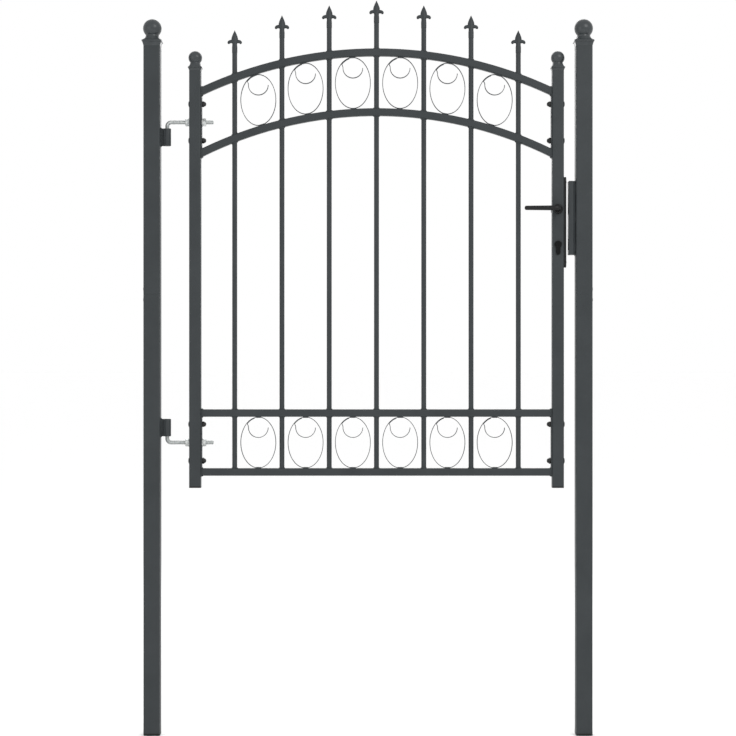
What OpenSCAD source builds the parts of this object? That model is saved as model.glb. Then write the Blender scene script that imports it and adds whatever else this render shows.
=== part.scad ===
// Arched steel garden gate with ball-capped posts, one swinging leaf, spear-headed bars and scroll bands.
// The origin is the middle of the hinge post's foot. +X runs to the lock post, +Y to the garden side, +Z up.
// The lowest bury_depth of each post stands below ground.

/* [Passage] */
// Clear width between the two posts
passage_w = 1000; // [850:10:1200]
// Gap between the hinge post and the leaf
hinge_gap = 69.5; // [64:0.5:90]
// Gap between the leaf and the lock post
lock_gap = 28.5; // [24:0.5:40]
// Gap between the ground and the feet of the leaf
ground_gap = 94; // [30:1:150]

/* [Posts] */
// Side of the square post tube
post_side = 40; // [34:1:60]
// Wall of the post tube
post_wall = 2; // [1.5:0.5:3]
// Outside corner radius of the post tube
post_corner_r = 3.5; // [3:0.5:6]
// Length of each post below ground
bury_depth = 500; // [400:10:700]
// Height of the post tubes' tops above the tops of the stiles
post_over_leaf = 59; // [20:1:200]
// Height above ground of the joint between the two lengths of a post
splice_above = 560; // [300:10:620]
// Length of the sleeve inside the joint
coupler_l = 120; // [80:10:200]
// Distance between the two bolts of a post joint
splice_bolt_pitch = 26; // [20:1:60]
// Thickness of the flange on a post's foot plug
foot_flange_t = 4; // [2:1:8]

/* [Leaf frame] */
// Side of the square tube of the two stiles
stile_side = 28; // [24:1:34]
// Wall of the stile tube
stile_wall = 1.5; // [1.2:0.1:2.5]
// Outside corner radius of the stile tube
stile_corner_r = 2.8; // [2.6:0.1:4]
// Length of a stile, from the foot of its plug to the top of its tube
stile_h = 1005; // [850:5:1220]
// Side of the square tube of the rails
rail_side = 18; // [15:1:22]
// Wall of the rail tube
rail_wall = 1.5; // [1.2:0.1:2]
// Outside corner radius of the rail tube
rail_corner_r = 2.4; // [2.2:0.1:3.5]
// Height of the bottom rail's underside above the foot of the leaf
bottom_rail_up = 29; // [20:1:60]
// Open height between the bottom rail and the middle rail
lower_band_h = 124; // [100:1:150]
// Open height between the two arched rails, at the crown
upper_band_h = 126; // [100:1:152]
// Height of the upper arch's crown above the top of the stiles
crown_up = 53.6; // [40:0.1:65]
// Rise of the upper arch from its ends to its crown
arch_rise = 93.5; // [75:0.5:115]
// Rise of the lower arch from its ends to its crown
lower_arch_rise = 98; // [80:0.5:120]
// Thickness of the end plates that carry the rails' ends
end_plate_t = 2.5; // [2:0.5:4]
// How far an end plate stands past the rails at front and back
end_plate_lip = 1; // [0:0.5:4]
// How far an end plate runs past the outermost rail
end_plate_margin = 2; // [0:0.5:5]

/* [Bars and spearheads] */
// Diameter of the round bars
bar_d = 12; // [10:0.5:14]
// Wall of the bars' tube
bar_wall = 1.2; // [1:0.1:2]
// Distance from a stile's inner face to the nearest bar's centre
bar_edge = 81; // [60:1:100]
// Height of the middle spearhead's point above the crown
tip_over_crown = 116.4; // [100:0.1:140]
// Step by which the drop between neighbouring points grows
tip_step = 12; // [8:0.5:16]
// Length of a spearhead
spear_l = 55; // [48:1:70]
// Diameter of a spearhead's shank
spear_shank_d = 13; // [12.5:0.5:15]

/* [Scroll rings] */
// Thickness of the scrolls' flat strip
strip_t = 1.5; // [1.2:0.1:3]
// Depth of the scrolls' strip, front to back
strip_depth = 8; // [6:1:16]
// Gap between a ring and the bars beside it
ring_side_gap = 8; // [5:0.1:10]
// How much less the curl's radius is than that of the ring's end
curl_inset = 5.3; // [4:0.1:8]

/* [Hinges] */
// Diameter of the threaded hinge rods
rod_d = 10; // [8:0.5:12]
// Distance from the hinge post's face to the hinge axis
pin_offset = 16; // [14:0.5:20]
// Outside diameter of the sleeves on the hinge post
sleeve_d = 18; // [16:0.5:22]
// Length of the sleeves
sleeve_l = 42; // [34:1:60]
// Distance from a rod's centre-line to the near end of its sleeve
sleeve_drop = 15; // [14:0.5:20]
// Thickness of the sleeves' closed end
sleeve_floor = 5; // [3:0.5:8]
// Bend radius of the rods, at their centre-line
rod_bend_r = 9.5; // [8:0.5:12]
// Length of rod that stands past the inner nut
rod_past = 18; // [8:1:30]
// Radial running clearance of a hinge pin in its sleeve
pin_clearance = 0.08; // [0.05:0.01:0.1]

/* [Frame bolts] */
// Distance of a frame bolt from the middle of its end plate
frame_bolt_offset = 44; // [38:1:50]
// Diameter of the frame bolts
frame_bolt_d = 8; // [6:0.5:8]

/* [Lock] */
// Height of the handle's axis above the foot of the leaf
handle_up = 671; // [560:1:690]
// Distance from the handle's axis down to the key cylinder's plug
key_distance = 85; // [80:1:92]
// Length of the lock's faceplate
faceplate_l = 219; // [205:1:230]
// Thickness of the faceplate
faceplate_t = 6; // [3:0.5:7]
// Clearance between the faceplate and the keeper
keeper_gap = 5.5; // [5:0.5:10]
// Length of the keeper on the lock post
keeper_l = 177; // [170:1:220]
// Depth of the keeper, front to back
keeper_depth = 34; // [30:1:34]
// Length of the lever, from the handle's axis to its end
lever_l = 84; // [70:1:120]
// Distance from the stile's front face to the middle of the lever
lever_standoff = 37; // [34:1:50]
// Diameter of the knob on the garden side
knob_d = 27; // [22:0.5:30]
// Distance from the stile's back face to the knob's rim
knob_standoff = 18; // [14:0.5:24]

/* [Hidden] */

$fn = 48;
BAR_COUNT = 7;
ARCH_FN = 256;
OVAL_STEP = 7.5;
LAP_FROM = 106;
LAP_TO = 121;
EPS = 0.01;

// Running and slip clearances
hole_clearance = 0.3;
slip_clearance = 0.1;
seat_clearance = 0.3;

// Places across the passage
post_face_x = post_side / 2;
lock_post_x = post_side + passage_w;
leaf_x0 = post_face_x + hinge_gap;
leaf_x1 = post_face_x + passage_w - lock_gap;
inner_x0 = leaf_x0 + stile_side;
inner_x1 = leaf_x1 - stile_side;
hinge_stile_x = leaf_x0 + stile_side / 2;
lock_stile_x = leaf_x1 - stile_side / 2;
leaf_mid_x = (leaf_x0 + leaf_x1) / 2;
half_span = (inner_x1 - inner_x0) / 2;
bar_pitch = 2 * (half_span - bar_edge) / (BAR_COUNT - 1);
pin_x = post_face_x + pin_offset;

// Heights
splice_z = bury_depth + splice_above;
leaf_z0 = bury_depth + ground_gap;
stile_top_z = leaf_z0 + stile_h;
post_top_z = stile_top_z + post_over_leaf;
crown_z = stile_top_z + crown_up;
lower_crown_z = crown_z - rail_side - upper_band_h;
bottom_rail_z0 = leaf_z0 + bottom_rail_up;
bottom_rail_z1 = bottom_rail_z0 + rail_side;
middle_rail_z0 = bottom_rail_z1 + lower_band_h;
middle_rail_z1 = middle_rail_z0 + rail_side;
handle_z = leaf_z0 + handle_up;
key_z = handle_z - key_distance;
splice_bolt_d = 8;

// Arches: each is a circular arc of given rise over the clear width between the stiles
function arc_radius(rise) = (half_span * half_span + rise * rise) / (2 * rise);
function arc_z(centre_z, r, d) = centre_z + sqrt(r * r - d * d);
upper_r = arc_radius(arch_rise);
lower_r = arc_radius(lower_arch_rise);
upper_cz = crown_z - upper_r;
lower_cz = lower_crown_z - lower_r;
upper_end_top_z = crown_z - arch_rise;
lower_end_top_z = lower_crown_z - lower_arch_rise;
upper_end_under_z = arc_z(upper_cz, upper_r - rail_side, half_span);
lower_end_under_z = arc_z(lower_cz, lower_r - rail_side, half_span);

// Hinge rods and end plates are centred on the two scroll bands
upper_hinge_z = (upper_end_under_z + lower_end_top_z) / 2;
lower_hinge_z = (bottom_rail_z1 + middle_rail_z0) / 2;
frame_bolt_zs = [
    for (z = [upper_hinge_z, lower_hinge_z], side = [-1, 1]) z + side * frame_bolt_offset
];

// Fasteners
washer_d = 2.1 * rod_d;
washer_t = 2;
nut_af = 1.7 * rod_d;
nut_h = 0.8 * rod_d;
bolt_head_d = 15;
bolt_head_h = 3;
cap_nut_af = 13;
cap_nut_hex_h = 5;
cap_nut_h = 10;
splice_head_d = 13;
splice_head_h = 2;
rod_end_x = inner_x0 + end_plate_t + washer_t + nut_h + rod_past;

// Bars and spearheads
function bar_x(i) = leaf_mid_x + (i - (BAR_COUNT + 1) / 2) * bar_pitch;
function steps_from_middle(i) = abs(i - (BAR_COUNT + 1) / 2);
function tip_drop(i) = tip_step * steps_from_middle(i) * (steps_from_middle(i) + 1) / 2;
function tip_z(i) = crown_z + tip_over_crown - tip_drop(i);
bar_foot_z = bottom_rail_z0 + rail_wall;
spear_spigot_l = 14;
spear_leaf_r = 7.8;
spear_leaf_h = 20;
spear_barb_r = 5.6;
spear_barb_out = 12.6;
spear_barb_drop = 28.5;
spear_arm_r = 4.2;
SPEAR_POINT_R = 0.6;

// Scroll rings: an oval of four arcs along the middle of the strip
ring_half_w = (bar_pitch - bar_d - strip_t) / 2 - ring_side_gap;
upper_ring_slack = 1;
weld_w = 14;

// Lock
keeper_w = lock_gap - faceplate_t - keeper_gap;
keeper_wall = 2.5;
keeper_z = handle_z - 21;
faceplate_w = 22;
faceplate_z = handle_z - 31;
lock_case_w = 18;
lock_case_l = 170;
lock_case_z = faceplate_z;
follower_d = 12.4;
spindle_side = 8;
lever_socket_y = stile_side / 2 + lever_standoff - 6;
knob_socket_y = stile_side / 2 + knob_standoff + 4;
neck_d = 13;
KNOB_CONE_L = 6;
KNOB_RIM_L = 8;
KNOB_DOME_H = 4;
rose_d = 23;
rose_t = 7;
lever_d = 12;
lever_end_d = 10;
latch_w = 12;
latch_l = 20;
bolt_w = 11;
bolt_l = 24;
bolt_proud = 0.5;
pocket_clearance = 2;
key_plug_d = 17;
key_tail_w = 10;
key_body_h = 33;
key_proud = 5;
keyway_w = 2;
keyway_l = 9;
keyway_deep = 3;

anthracite = "#474b4b";
black = "#1b1b1b";
zinc = "#b4b6b6";

// A square with round corners, centred on the origin
module rounded_square(side, r) {
    square([side, side - 2 * r], center = true);
    square([side - 2 * r, side], center = true);
    for (x = [-1, 1], y = [-1, 1])
        translate([x * (side / 2 - r), y * (side / 2 - r)]) circle(r = r);
}

// Section of a square tube
module tube_section(side, wall, corner_r) {
    difference() {
        rounded_square(side, corner_r);
        rounded_square(side - 2 * wall, corner_r - wall);
    }
}

// Upright square tube on the given axis, between two heights
module upright_tube(x, z0, z1, side, wall, corner_r) {
    translate([x, 0, z0]) linear_extrude(z1 - z0) tube_section(side, wall, corner_r);
}

// Square tube along X between the end plates
module cross_tube(z0) {
    translate([inner_x0 + end_plate_t, 0, z0 + rail_side / 2]) rotate([90, 0, 90])
        linear_extrude(2 * (half_span - end_plate_t)) tube_section(rail_side, rail_wall, rail_corner_r);
}

// Rod along X
module rod_x(x0, x1, z, r) {
    translate([x0, 0, z]) rotate([0, 90, 0]) cylinder(h = x1 - x0, r = r);
}

// Rod along Y
module rod_y(x, y0, y1, z, r) {
    translate([x, y1, z]) rotate([90, 0, 0]) cylinder(h = y1 - y0, r = r);
}

// Low dome on the plane z = 0
module dome(d, h) {
    ball_r = (d * d / 4 + h * h) / (2 * h);
    intersection() {
        translate([0, 0, h - ball_r]) sphere(r = ball_r);
        cylinder(h = h + 1, d = d);
    }
}

// Hexagon prism standing on z = 0
module hexagon(af, h) {
    cylinder(h = h, r = af / sqrt(3), $fn = 6);
}

// Square block whose side changes from bottom to top
module square_frustum(bottom, top, h) {
    intersection_for (turn = [0, 90])
        rotate([90, 0, turn])
            translate([0, 0, -bottom - top]) linear_extrude(2 * (bottom + top))
                polygon([[-bottom / 2, 0], [bottom / 2, 0], [top / 2, h], [-top / 2, h]]);
}

// The seven holes that the bars pass through
module bar_holes() {
    for (i = [1:BAR_COUNT])
        translate([bar_x(i), 0, bar_foot_z]) cylinder(h = crown_z, r = bar_d / 2 + hole_clearance);
}

// ---- Posts ----

// Plug that slips into a square tube's end, its top on the plane z = 0
module tube_plug(side, wall, corner_r, l) {
    translate([0, 0, -l]) linear_extrude(l + EPS)
        rounded_square(side - 2 * (wall + seat_clearance), corner_r);
}

// Moulded cap: a plug, a flared square collar, a sloping shoulder, a round neck and a ball
module ball_cap(side, wall, corner_r, plug_l, collar, flare_h, shoulder_h, neck_d, ball_d, ball_up) {
    color(anthracite) {
        tube_plug(side, wall, corner_r, plug_l);
        square_frustum(side, collar, flare_h);
        translate([0, 0, flare_h]) square_frustum(collar, neck_d, shoulder_h);
        cylinder(h = ball_up, d = neck_d);
        translate([0, 0, ball_up]) sphere(d = ball_d);
    }
}

module lower_post(x) {
    color(anthracite) difference() {
        upright_tube(x, foot_flange_t, splice_z, post_side, post_wall, post_corner_r);
        splice_bolt_holes(x);
    }
}

module upper_post(x) {
    color(anthracite) difference() {
        upright_tube(x, splice_z, post_top_z, post_side, post_wall, post_corner_r);
        splice_bolt_holes(x);
    }
}

// Moulded foot: a flange under the tube's end and a plug up into it
module tube_foot(x, z, side, wall, corner_r, plug_l) {
    color(black) translate([x, 0, z]) {
        linear_extrude(foot_flange_t) rounded_square(side, corner_r);
        translate([0, 0, foot_flange_t]) mirror([0, 0, 1]) tube_plug(side, wall, corner_r, plug_l);
    }
}

// The bolts of the two post joints go in from the outer side faces
function outward(x) = x > post_side ? 1 : -1;

module splice_bolt_holes(x) {
    for (side = [-1, 1])
        translate([x, 0, splice_z + side * splice_bolt_pitch / 2]) rotate([0, 90 * outward(x), 0])
            cylinder(h = post_side, r = splice_bolt_d / 2 + hole_clearance);
}

module post_coupler(x) {
    coupler_side = post_side - 2 * (post_wall + seat_clearance);
    color(anthracite) difference() {
        upright_tube(x, splice_z - coupler_l / 2, splice_z + coupler_l / 2,
            coupler_side, post_wall, post_corner_r - post_wall + 1);
        splice_bolt_holes(x);
    }
}

// Domed heads against the outer side faces, shanks through tube and sleeve
module post_joint_bolt(x, z) {
    color(anthracite) translate([x, 0, z]) rotate([0, 90 * outward(x), 0]) {
        translate([0, 0, post_side / 2]) dome(splice_head_d, splice_head_h);
        translate([0, 0, post_side / 2 - 3 * post_wall - 3])
            cylinder(h = 3 * post_wall + 3 + EPS, d = splice_bolt_d);
    }
}

module post_cap(x) {
    translate([x, 0, post_top_z])
        ball_cap(post_side, post_wall, post_corner_r, plug_l = 30, collar = post_side + 8,
            flare_h = 13.8, shoulder_h = 9.8, neck_d = 31, ball_d = 45, ball_up = 43.5);
}

// Sleeve with a closed end, on a flat tab against the post's face; open end up (1) or down (-1)
module hinge_sleeve(mouth_z, open_up) {
    color(anthracite) difference() {
        translate([0, 0, mouth_z]) mirror([0, 0, open_up > 0 ? 1 : 0]) {
            translate([pin_x, 0, 0]) cylinder(h = sleeve_l, d = sleeve_d);
            translate([post_face_x, -sleeve_d / 4, 0])
                cube([pin_offset, sleeve_d / 2, sleeve_l]);
        }
        translate([pin_x, 0, mouth_z]) mirror([0, 0, open_up > 0 ? 1 : 0])
            translate([0, 0, -1]) cylinder(h = sleeve_l - sleeve_floor + 1, r = rod_d / 2 + pin_clearance);
    }
}

// Channel folded round the latch and bolt pockets, its web towards the leaf
module lock_keeper() {
    x0 = lock_post_x - post_face_x - keeper_w;
    color(anthracite) difference() {
        translate([x0, -keeper_depth / 2, keeper_z - keeper_l / 2])
            cube([keeper_w, keeper_depth, keeper_l]);
        translate([x0, -keeper_depth / 2, keeper_z - keeper_l / 2]) translate(keeper_wall * [1, 1, 1])
            cube([keeper_w, keeper_depth - 2 * keeper_wall, keeper_l - 2 * keeper_wall]);
        keeper_pocket(x0, handle_z, latch_w, latch_l);
        keeper_pocket(x0, key_z, bolt_w, bolt_l);
    }
}

module keeper_pocket(x0, z, w, l) {
    translate([x0 - 1, -w / 2 - pocket_clearance, z - l / 2 - pocket_clearance])
        cube([keeper_wall + 2, w + 2 * pocket_clearance, l + 2 * pocket_clearance]);
}

// ---- Leaf frame ----

module stile_tube(x) {
    upright_tube(x, leaf_z0 + foot_flange_t, stile_top_z, stile_side, stile_wall, stile_corner_r);
}

module frame_bolt_holes(x0, x1) {
    for (z = frame_bolt_zs) rod_x(x0, x1, z, frame_bolt_d / 2 + hole_clearance);
}

module hinge_stile() {
    color(anthracite) difference() {
        stile_tube(hinge_stile_x);
        frame_bolt_holes(leaf_x0 - 1, inner_x0 + 1);
        for (z = [upper_hinge_z, lower_hinge_z])
            rod_x(leaf_x0 - 1, inner_x0 + 1, z, rod_d / 2 + hole_clearance);
    }
}

module lock_stile() {
    color(anthracite) difference() {
        stile_tube(lock_stile_x);
        frame_bolt_holes(inner_x1 - 1, leaf_x1 + 1);
        translate([lock_stile_x, 0, 0]) lock_case_block(hole_clearance, stile_side);
        rod_y(lock_stile_x, -stile_side, stile_side, handle_z, neck_d / 2 + hole_clearance);
        key_body(stile_side, slip_clearance);
    }
}

module stile_cap(x) {
    translate([x, 0, stile_top_z])
        ball_cap(stile_side, stile_wall, stile_corner_r, plug_l = 20, collar = stile_side + 6,
            flare_h = 8.6, shoulder_h = 11, neck_d = 24.5, ball_d = 33, ball_up = 31.5);
}

// Tube bent to an arc, cut square to the end plates
module arch_rail(centre_z, r) {
    mid_r = r - rail_side / 2;
    reach = asin(half_span / (r - rail_side)) + 1;
    color(anthracite) difference() {
        intersection() {
            translate([leaf_mid_x, 0, centre_z]) rotate([90, 0, 0]) rotate([0, 0, 90 - reach])
                rotate_extrude(angle = 2 * reach, $fn = ARCH_FN)
                    translate([mid_r, 0]) tube_section(rail_side, rail_wall, rail_corner_r);
            translate([inner_x0 + end_plate_t, -rail_side, leaf_z0])
                cube([2 * (half_span - end_plate_t), 2 * rail_side, 2 * stile_h]);
        }
        bar_holes();
    }
}

module middle_rail() {
    color(anthracite) difference() {
        cross_tube(middle_rail_z0);
        bar_holes();
    }
}

module bottom_rail() {
    color(anthracite) difference() {
        cross_tube(bottom_rail_z0);
        bar_holes();
    }
}

module end_plate(x, z0, z1, rod_hole_z) {
    color(anthracite) difference() {
        translate([x, -rail_side / 2 - end_plate_lip, z0 - end_plate_margin])
            cube([end_plate_t, rail_side + 2 * end_plate_lip, z1 - z0 + 2 * end_plate_margin]);
        frame_bolt_holes(x - 1, x + end_plate_t + 1);
        if (x < leaf_mid_x)
            rod_x(x - 1, x + end_plate_t + 1, rod_hole_z, rod_d / 2 + hole_clearance);
    }
}

module end_plates() {
    for (x = [inner_x0, inner_x1 - end_plate_t]) {
        end_plate(x, lower_end_under_z, upper_end_top_z, upper_hinge_z);
        end_plate(x, bottom_rail_z0, middle_rail_z1, lower_hinge_z);
    }
}

// ---- Bars and spearheads ----

module bar(i) {
    h = tip_z(i) - spear_l - bar_foot_z;
    color(anthracite) translate([bar_x(i), 0, bar_foot_z]) difference() {
        cylinder(h = h, d = bar_d);
        translate([0, 0, -1]) cylinder(h = h + 2, r = bar_d / 2 - bar_wall);
    }
}

// Casting: a pointed leaf over a round shank, with a drooping barb each side and a spigot into the bar
module spearhead(i) {
    shank_r = spear_shank_d / 2;
    spigot_r = bar_d / 2 - bar_wall - slip_clearance;
    color(anthracite) translate([bar_x(i), 0, tip_z(i)]) {
        rotate_extrude() polygon([
            [0, -spear_l - spear_spigot_l], [spigot_r, -spear_l - spear_spigot_l],
            [spigot_r, -spear_l], [shank_r, -spear_l], [shank_r, -2 * spear_leaf_h],
            [spear_leaf_r, -spear_leaf_h], [SPEAR_POINT_R, 0], [0, 0]
        ]);
        for (side = [-1, 1]) {
            translate([side * spear_barb_out, 0, -spear_barb_drop]) sphere(r = spear_barb_r);
            translate([0, 0, -spear_barb_drop + 1]) rotate([0, side * 90, 0])
                cylinder(h = spear_barb_out, r = spear_arm_r);
        }
    }
}

// ---- Scroll rings ----

// Point on an oval's outline, moved out along its normal
function oval_point(half_w, half_h, t, out) =
    let (normal = [cos(t) / half_w, sin(t) / half_h])
    [half_w * cos(t), half_h * sin(t)] + out * normal / norm(normal);

function curl_points(z, r, angles) = [for (t = angles) [r * cos(t), z + r * sin(t)]];

module oval(half_h, out) {
    polygon([for (t = [0:OVAL_STEP:359]) oval_point(ring_half_w, half_h, t, out)]);
}

// Outline of a ring about the origin: the oval, the curl under its top with a leg up to the oval,
// the lap where the strip's end lies on its start, and weld beads turned to meet sloping rails
module ring_outline(half_h, top_slope, bottom_slope) {
    curl_r = ring_half_w * ring_half_w / half_h - curl_inset;
    curl_z = half_h - strip_t - curl_r;
    leg_top = half_h * sqrt(1 - pow(curl_r / ring_half_w, 2));
    difference() {
        oval(half_h, strip_t / 2);
        oval(half_h, -strip_t / 2);
    }
    polygon(concat(
        [[-curl_r + strip_t / 2, leg_top]],
        curl_points(curl_z, curl_r - strip_t / 2, [180:OVAL_STEP:360]),
        curl_points(curl_z, curl_r + strip_t / 2, [360:-OVAL_STEP:180]),
        [[-curl_r - strip_t / 2, leg_top]]
    ));
    polygon(concat(
        [for (t = [LAP_FROM:OVAL_STEP:LAP_TO]) oval_point(ring_half_w, half_h, t, 0)],
        [for (t = [LAP_TO:-OVAL_STEP:LAP_FROM]) oval_point(ring_half_w, half_h, t, -3 * strip_t / 2)]
    ));
    weld_bead(half_h, top_slope);
    rotate(180) weld_bead(half_h, bottom_slope);
}

// Bead on the oval where its face slopes as the rail does
module weld_bead(half_h, slope) {
    t = atan2(half_h * cos(slope), ring_half_w * sin(slope));
    translate(oval_point(ring_half_w, half_h, t, 0)) rotate(-slope)
        translate([-weld_w / 2, -strip_t / 4]) square([weld_w, 2 * strip_t]);
}

module strip_extrude() {
    rotate([90, 0, 0]) linear_extrude(strip_depth, center = true) children();
}

module upper_rings() {
    for (i = [1:BAR_COUNT - 1]) {
        x = (bar_x(i) + bar_x(i + 1)) / 2;
        d = x - leaf_mid_x;
        mid_z = (arc_z(upper_cz, upper_r - rail_side, d) + arc_z(lower_cz, lower_r, d)) / 2;
        color(anthracite) strip_extrude() intersection() {
            translate([x, mid_z])
                ring_outline((upper_band_h - strip_t) / 2 - upper_ring_slack,
                    asin(d / (upper_r - rail_side)), asin(d / lower_r));
            difference() {
                translate([leaf_mid_x, upper_cz]) circle(r = upper_r - rail_side, $fn = ARCH_FN);
                translate([leaf_mid_x, lower_cz]) circle(r = lower_r, $fn = ARCH_FN);
            }
        }
    }
}

module lower_rings() {
    for (i = [1:BAR_COUNT - 1])
        color(anthracite) strip_extrude() intersection() {
            translate([(bar_x(i) + bar_x(i + 1)) / 2, (bottom_rail_z1 + middle_rail_z0) / 2])
                ring_outline((lower_band_h - strip_t) / 2, 0, 0);
            translate([inner_x0, bottom_rail_z1]) square([2 * half_span, lower_band_h]);
        }
}

// ---- Hinges and fasteners ----

// Each frame bolt goes in from the stile's outer face and holds the end plate on the inner face
module frame_bolt(outer_x, way, z) {
    color(black) translate([outer_x, 0, z]) rotate([0, 90 * way, 0]) {
        mirror([0, 0, 1]) dome(bolt_head_d, bolt_head_h);
        translate([0, 0, -EPS])
            cylinder(h = stile_side + end_plate_t + cap_nut_hex_h, d = frame_bolt_d);
    }
}

module frame_bolts() {
    for (z = frame_bolt_zs) {
        frame_bolt(leaf_x0, 1, z);
        frame_bolt(leaf_x1, -1, z);
    }
}

module cap_nut(x, way, z) {
    dome_r = cap_nut_af / 2 - 0.5;
    color(black) translate([x, 0, z]) rotate([0, 90 * way, 0]) difference() {
        union() {
            hexagon(cap_nut_af, cap_nut_hex_h);
            cylinder(h = cap_nut_h - dome_r, r = dome_r);
            translate([0, 0, cap_nut_h - dome_r]) sphere(r = dome_r);
        }
        translate([0, 0, -1]) cylinder(h = cap_nut_hex_h + 1.5, r = frame_bolt_d / 2 + slip_clearance);
        translate([0, 0, -2 * dome_r]) cylinder(h = 2 * dome_r, r = 2 * dome_r);
    }
}

module cap_nuts() {
    for (z = frame_bolt_zs) {
        cap_nut(inner_x0 + end_plate_t, 1, z);
        cap_nut(inner_x1 - end_plate_t, -1, z);
    }
}

// Threaded rod bent square: one leg in the sleeve, the other through the stile; leg down (-1) or up (1)
module hinge_rod(z, way) {
    leg_l = sleeve_drop + sleeve_l - sleeve_floor - seat_clearance - rod_bend_r;
    point_l = 2;
    color(zinc) translate([pin_x, 0, z]) mirror([0, 0, way > 0 ? 1 : 0]) {
        translate([rod_bend_r, 0, -rod_bend_r]) rotate([90, 0, 0]) rotate([0, 0, 90])
            rotate_extrude(angle = 90) translate([rod_bend_r, 0]) circle(d = rod_d);
        translate([0, 0, -rod_bend_r - leg_l]) cylinder(h = leg_l, d = rod_d);
        translate([rod_bend_r, 0, 0]) rotate([0, 90, 0]) {
            cylinder(h = rod_end_x - pin_x - rod_bend_r - point_l, d = rod_d);
            translate([0, 0, rod_end_x - pin_x - rod_bend_r - point_l])
                cylinder(h = point_l, d1 = rod_d, d2 = rod_d - 2 * point_l);
        }
    }
}

module hinge_nuts() {
    bore_r = rod_d / 2 + slip_clearance;
    nut_xs = [leaf_x0 - washer_t - nut_h, inner_x0 + end_plate_t + washer_t];
    color(zinc) for (z = [upper_hinge_z, lower_hinge_z], x = nut_xs)
        difference() {
            translate([x, 0, z]) rotate([0, 90, 0]) hexagon(nut_af, nut_h);
            rod_x(x - 1, x + nut_h + 1, z, bore_r);
        }
}

module hinge_washers() {
    bore_r = rod_d / 2 + hole_clearance;
    washer_xs = [leaf_x0 - washer_t, inner_x0 + end_plate_t];
    color(zinc) for (z = [upper_hinge_z, lower_hinge_z], x = washer_xs)
        difference() {
            rod_x(x, x + washer_t, z, washer_d / 2);
            rod_x(x - 1, x + washer_t + 1, z, bore_r);
        }
}

// ---- Lock and handle ----

// The case's block about the stile's axis, grown by a clearance and drawn out past the outer wall
module lock_case_block(gap, out) {
    depth = stile_side / 2 - stile_wall - 1;
    translate([-depth - gap, -lock_case_w / 2 - gap, lock_case_z - lock_case_l / 2 - gap])
        cube([depth + gap + out, lock_case_w + 2 * gap, lock_case_l + 2 * gap]);
}

module lock_case() {
    color(zinc) difference() {
        translate([lock_stile_x, 0, 0]) lock_case_block(0, stile_side / 2);
        rod_y(lock_stile_x, -stile_side, stile_side, handle_z, follower_d / 2);
        key_body(stile_side, slip_clearance);
    }
}

module lock_faceplate() {
    color(black) difference() {
        translate([leaf_x1, 0, faceplate_z]) rotate([90, 0, 90]) linear_extrude(faceplate_t) {
            square([faceplate_w, faceplate_l - faceplate_w], center = true);
            for (end = [-1, 1]) translate([0, end * (faceplate_l - faceplate_w) / 2]) circle(d = faceplate_w);
        }
        bolt_block(handle_z, latch_w, latch_l, slip_clearance);
        bolt_block(key_z, bolt_w, bolt_l, slip_clearance);
    }
}

// A bolt's end in the faceplate, drawn back to stand just proud of it
module bolt_block(z, w, l, gap) {
    translate([leaf_x1, -w / 2 - gap, z - l / 2 - gap])
        cube([faceplate_t + bolt_proud, w + 2 * gap, l + 2 * gap]);
}

module lock_bolts() {
    color(zinc) {
        bolt_block(handle_z, latch_w, latch_l, 0);
        bolt_block(key_z, bolt_w, bolt_l, 0);
    }
}

// Keyhole-shaped body through the stile
module key_body(half_l, gap) {
    rod_y(lock_stile_x, -half_l, half_l, key_z, key_plug_d / 2 + gap);
    tail_r = key_tail_w / 2 + gap;
    tail_z = key_z + key_plug_d / 2 - key_body_h + key_tail_w / 2;
    translate([lock_stile_x - tail_r, -half_l, tail_z]) cube([2 * tail_r, 2 * half_l, key_z - tail_z]);
    rod_y(lock_stile_x, -half_l, half_l, tail_z, tail_r);
}

module key_cylinder() {
    half_l = stile_side / 2 + key_proud;
    color(black) difference() {
        key_body(half_l, 0);
        for (side = [-1, 1])
            translate([lock_stile_x - keyway_w / 2, side * half_l - keyway_deep, key_z - keyway_l / 2])
                cube([keyway_w, 2 * keyway_deep, keyway_l]);
    }
}

module handle_roses() {
    color(black) for (side = [-1, 1])
        difference() {
            rose_y = side * stile_side / 2;
            rod_y(lock_stile_x, min(rose_y, rose_y + side * rose_t), max(rose_y, rose_y + side * rose_t),
                handle_z, rose_d / 2);
            rod_y(lock_stile_x, -2 * stile_side, 2 * stile_side, handle_z, neck_d / 2 + hole_clearance);
        }
}

// Square spindle between the sockets of the lever and the knob
module handle_spindle() {
    color(zinc) translate([lock_stile_x - spindle_side / 2, -lever_socket_y, handle_z - spindle_side / 2])
        cube([spindle_side, lever_socket_y + knob_socket_y, spindle_side]);
}

// Square socket about the handle's axis, out to a distance from the stile's axis
module spindle_socket(socket_y) {
    socket = spindle_side + 2 * slip_clearance;
    translate([-socket / 2, 0, -socket / 2]) cube([socket, socket_y + slip_clearance, socket]);
}

// Lever towards the bars, with a neck through its rose
module front_lever() {
    lever_y = stile_side / 2 + lever_standoff;
    color(black) translate([lock_stile_x, 0, handle_z]) mirror([0, 1, 0]) difference() {
        union() {
            rod_y(0, stile_side / 2 + 1, lever_y, 0, neck_d / 2);
            translate([0, lever_y, 0]) {
                sphere(d = neck_d);
                rotate([0, -90, 0]) cylinder(h = lever_l - lever_end_d / 2, d1 = lever_d, d2 = lever_end_d);
                translate([-lever_l + lever_end_d / 2, 0, 0]) sphere(d = lever_end_d);
            }
        }
        spindle_socket(lever_socket_y);
    }
}

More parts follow.
